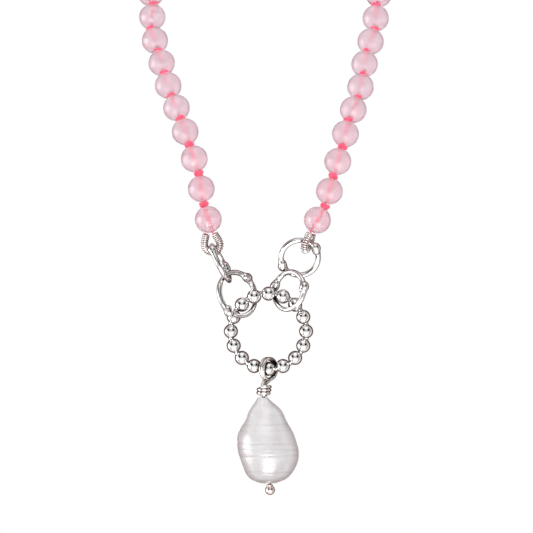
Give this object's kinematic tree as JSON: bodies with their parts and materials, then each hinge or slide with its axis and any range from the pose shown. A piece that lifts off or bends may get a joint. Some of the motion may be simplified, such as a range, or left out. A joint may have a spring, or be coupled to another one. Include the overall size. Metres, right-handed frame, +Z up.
{
  "type": "necklace",
  "caption": "Knotted round-bead necklace draped as on a neck, with looped wire ends, bone-shaped link rings, a beaded metal ring and a hanging baroque pearl drop.",
  "frame": {"origin": "middle of the nape, where the back of the strand rests on the neck", "axes": "+X the wearer's left side seen from the front as right, -Y the front, +Z up"},
  "size_m": [0.11, 0.1373, 0.1898],
  "materials": {
    "rose_quartz": "polished translucent stone",
    "silk": "twisted silk",
    "french_wire": "fine coiled silver wire",
    "link_silver": "polished cast silver",
    "ring_silver": "polished silver balls",
    "wire_silver": "polished silver wire",
    "pearl": "nacre with soft lustre"
  },
  "bodies": {
    "neck_strand": {"left_shoulder_beads": "rose_quartz", "left_nape_beads": "rose_quartz", "right_nape_beads": "rose_quartz", "right_shoulder_beads": "rose_quartz", "neck_silk": "silk"},
    "row_01": {"silk_01": "silk"},
    "row_02": {"silk_02": "silk"},
    "row_03": {"silk_03": "silk"},
    "row_04": {"silk_04": "silk"},
    "row_05": {"silk_05": "silk"},
    "row_06": {"silk_06": "silk"},
    "row_07": {"silk_07": "silk"},
    "row_08": {"silk_08": "silk"},
    "row_09": {"silk_09": "silk"},
    "row_10": {"silk_10": "silk", "left_french_wire": "french_wire", "right_french_wire": "french_wire"},
    "left_upper_link": {"left_upper_link": "link_silver"},
    "left_lower_link": {"left_lower_link": "link_silver"},
    "right_upper_link": {"right_upper_link": "link_silver"},
    "right_lower_link": {"right_lower_link": "link_silver"},
    "beaded_ring": {"beaded_ring": "ring_silver"},
    "head_pin": {"head_pin": "wire_silver"},
    "pearl": {"pearl": "pearl"},
    "left_bead_01": {"left_bead_01": "rose_quartz"},
    "right_bead_01": {"right_bead_01": "rose_quartz"},
    "left_bead_02": {"left_bead_02": "rose_quartz"},
    "right_bead_02": {"right_bead_02": "rose_quartz"},
    "left_bead_03": {"left_bead_03": "rose_quartz"},
    "right_bead_03": {"right_bead_03": "rose_quartz"},
    "left_bead_04": {"left_bead_04": "rose_quartz"},
    "right_bead_04": {"right_bead_04": "rose_quartz"},
    "left_bead_05": {"left_bead_05": "rose_quartz"},
    "right_bead_05": {"right_bead_05": "rose_quartz"},
    "left_bead_06": {"left_bead_06": "rose_quartz"},
    "right_bead_06": {"right_bead_06": "rose_quartz"},
    "left_bead_07": {"left_bead_07": "rose_quartz"},
    "right_bead_07": {"right_bead_07": "rose_quartz"},
    "left_bead_08": {"left_bead_08": "rose_quartz"},
    "right_bead_08": {"right_bead_08": "rose_quartz"},
    "left_bead_09": {"left_bead_09": "rose_quartz"},
    "right_bead_09": {"right_bead_09": "rose_quartz"},
    "left_bead_10": {"left_bead_10": "rose_quartz"},
    "right_bead_10": {"right_bead_10": "rose_quartz"}
  },
  "joints": [
    {"name": "drape_01", "type": "hinge", "parent": "neck_strand", "child": "row_01", "pos_m": [-0.00021, -0.07889, -0.03112], "axis": [-1, 0, 0.0051], "range_deg": [0, 10]},
    {"name": "drape_02", "type": "hinge", "parent": "row_01", "child": "row_02", "pos_m": [-0.00021, -0.08474, -0.03845], "axis": [-1, 0, 0.0054], "range_deg": [0, 10]},
    {"name": "drape_03", "type": "hinge", "parent": "row_02", "child": "row_03", "pos_m": [-0.00075, -0.09032, -0.04611], "axis": [-1, 0, 0.0054], "range_deg": [0, 10]},
    {"name": "drape_04", "type": "hinge", "parent": "row_03", "child": "row_04", "pos_m": [-0.00093, -0.09617, -0.05312], "axis": [-1, 0, 0.0036], "range_deg": [0, 10]},
    {"name": "drape_05", "type": "hinge", "parent": "row_04", "child": "row_05", "pos_m": [-0.0005, -0.1024, -0.06014], "axis": [-1, 0, 0.0067], "range_deg": [0, 10]},
    {"name": "drape_06", "type": "hinge", "parent": "row_05", "child": "row_06", "pos_m": [-0.00019, -0.10838, -0.06724], "axis": [-0.9999, 0, 0.0103], "range_deg": [0, 10]},
    {"name": "drape_07", "type": "hinge", "parent": "row_06", "child": "row_07", "pos_m": [-0.00019, -0.11436, -0.07404], "axis": [-0.9999, 0, 0.0115], "range_deg": [0, 10]},
    {"name": "drape_08", "type": "hinge", "parent": "row_07", "child": "row_08", "pos_m": [0.00008, -0.11925, -0.08186], "axis": [-0.9999, 0, 0.016], "range_deg": [0, 10]},
    {"name": "drape_09", "type": "hinge", "parent": "row_08", "child": "row_09", "pos_m": [0.00023, -0.12203, -0.0905], "axis": [-0.9998, 0, 0.0208], "range_deg": [0, 10]},
    {"name": "drape_10", "type": "hinge", "parent": "row_09", "child": "row_10", "pos_m": [-0.00033, -0.12368, -0.09965], "axis": [-0.9999, 0, 0.0166], "range_deg": [0, 10]},
    {"name": "link_left_upper_swivel", "type": "hinge", "parent": "row_10", "child": "left_upper_link", "pos_m": [-0.01355, -0.1255, -0.1167], "axis": [0.4784, -0.1063, -0.8717], "range_deg": [-25, 2]},
    {"name": "link_left_lower_swivel", "type": "hinge", "parent": "row_10", "child": "left_lower_link", "pos_m": [-0.00885, -0.1257, -0.12575], "axis": [0.4353, 0.0853, -0.8962], "range_deg": [-2.5, 1]},
    {"name": "link_right_upper_swivel", "type": "hinge", "parent": "row_10", "child": "right_upper_link", "pos_m": [0.00995, -0.1245, -0.116], "axis": [-0.4355, 0.1117, -0.8933], "range_deg": [-2, 30]},
    {"name": "link_right_lower_swivel", "type": "hinge", "parent": "row_10", "child": "right_lower_link", "pos_m": [0.00695, -0.12475, -0.1244], "axis": [-0.1275, -0.1471, -0.9809], "range_deg": [-0.4, 12.5]},
    {"name": "beaded_ring_swing", "type": "hinge", "parent": "row_10", "child": "beaded_ring", "pos_m": [-0.00015, -0.125, -0.13], "axis": [0.9924, 0, 0.1231], "range_deg": [-0.5, 30]},
    {"name": "charm_swing", "type": "hinge", "parent": "beaded_ring", "child": "head_pin", "pos_m": [0.0009, -0.125, -0.14815], "axis": [1, 0, 0], "range_deg": [-8, 8]},
    {"name": "pearl_spin", "type": "hinge", "parent": "head_pin", "child": "pearl", "pos_m": [0.00038, -0.125, -0.17017], "axis": [-0.0701, 0, 0.9975], "continuous": true},
    {"name": "spin_left_bead_01", "type": "hinge", "parent": "row_01", "child": "left_bead_01", "pos_m": [-0.03488, -0.08181, -0.0346], "axis": [-0.1638, 0.6157, 0.7708], "continuous": true},
    {"name": "spin_right_bead_01", "type": "hinge", "parent": "row_01", "child": "right_bead_01", "pos_m": [0.03446, -0.08181, -0.03497], "axis": [0.1638, 0.6157, 0.7708], "continuous": true},
    {"name": "spin_left_bead_02", "type": "hinge", "parent": "row_02", "child": "left_bead_02", "pos_m": [-0.03437, -0.08753, -0.0421], "axis": [0.0564, 0.5878, 0.807], "continuous": true},
    {"name": "spin_right_bead_02", "type": "hinge", "parent": "row_02", "child": "right_bead_02", "pos_m": [0.03342, -0.08753, -0.04246], "axis": [0.0564, 0.5878, 0.807], "continuous": true},
    {"name": "spin_left_bead_03", "type": "hinge", "parent": "row_03", "child": "left_bead_03", "pos_m": [-0.03342, -0.09324, -0.04947], "axis": [-0.2566, 0.6157, 0.7451], "continuous": true},
    {"name": "spin_right_bead_03", "type": "hinge", "parent": "row_03", "child": "right_bead_03", "pos_m": [0.03175, -0.09324, -0.04977], "axis": [0.2952, 0.6157, 0.7306], "continuous": true},
    {"name": "spin_left_bead_04", "type": "hinge", "parent": "row_04", "child": "left_bead_04", "pos_m": [-0.03128, -0.09928, -0.05647], "axis": [-0.1953, 0.6561, 0.729], "continuous": true},
    {"name": "spin_right_bead_04", "type": "hinge", "parent": "row_04", "child": "right_bead_04", "pos_m": [0.02985, -0.09928, -0.05679], "axis": [0.105, 0.6561, 0.7474], "continuous": true},
    {"name": "spin_left_bead_05", "type": "hinge", "parent": "row_05", "child": "left_bead_05", "pos_m": [-0.02921, -0.10539, -0.06345], "axis": [-0.2402, 0.6293, 0.7391], "continuous": true},
    {"name": "spin_right_bead_05", "type": "hinge", "parent": "row_05", "child": "right_bead_05", "pos_m": [0.02852, -0.10539, -0.06393], "axis": [0.1748, 0.6293, 0.7572], "continuous": true},
    {"name": "spin_left_bead_06", "type": "hinge", "parent": "row_06", "child": "left_bead_06", "pos_m": [-0.02663, -0.11137, -0.07036], "axis": [-0.3037, 0.6293, 0.7154], "continuous": true},
    {"name": "spin_right_bead_06", "type": "hinge", "parent": "row_06", "child": "right_bead_06", "pos_m": [0.02624, -0.11137, -0.07093], "axis": [0.3037, 0.6293, 0.7154], "continuous": true},
    {"name": "spin_left_bead_07", "type": "hinge", "parent": "row_07", "child": "left_bead_07", "pos_m": [-0.02392, -0.1168, -0.07763], "axis": [-0.2649, 0.515, 0.8152], "continuous": true},
    {"name": "spin_right_bead_07", "type": "hinge", "parent": "row_07", "child": "right_bead_07", "pos_m": [0.02382, -0.1168, -0.07828], "axis": [0.2074, 0.515, 0.8317], "continuous": true},
    {"name": "spin_left_bead_08", "type": "hinge", "parent": "row_08", "child": "left_bead_08", "pos_m": [-0.02119, -0.12064, -0.08579], "axis": [-0.3113, 0.2924, 0.9042], "continuous": true},
    {"name": "spin_right_bead_08", "type": "hinge", "parent": "row_08", "child": "right_bead_08", "pos_m": [0.0215, -0.12064, -0.08657], "axis": [0.2796, 0.2924, 0.9145], "continuous": true},
    {"name": "spin_left_bead_09", "type": "hinge", "parent": "row_09", "child": "left_bead_09", "pos_m": [-0.01906, -0.12285, -0.09472], "axis": [-0.1371, 0.1737, 0.9752], "continuous": true},
    {"name": "spin_right_bead_09", "type": "hinge", "parent": "row_09", "child": "right_bead_09", "pos_m": [0.01896, -0.12285, -0.09543], "axis": [0.2549, 0.1737, 0.9513], "continuous": true},
    {"name": "spin_left_bead_10", "type": "hinge", "parent": "row_10", "child": "left_bead_10", "pos_m": [-0.01695, -0.12434, -0.10383], "axis": [-0.306, 0.1392, 0.9418], "continuous": true},
    {"name": "spin_right_bead_10", "type": "hinge", "parent": "row_10", "child": "right_bead_10", "pos_m": [0.0154, -0.12434, -0.10403], "axis": [0.4951, 0.1392, 0.8576], "continuous": true}
  ]
}
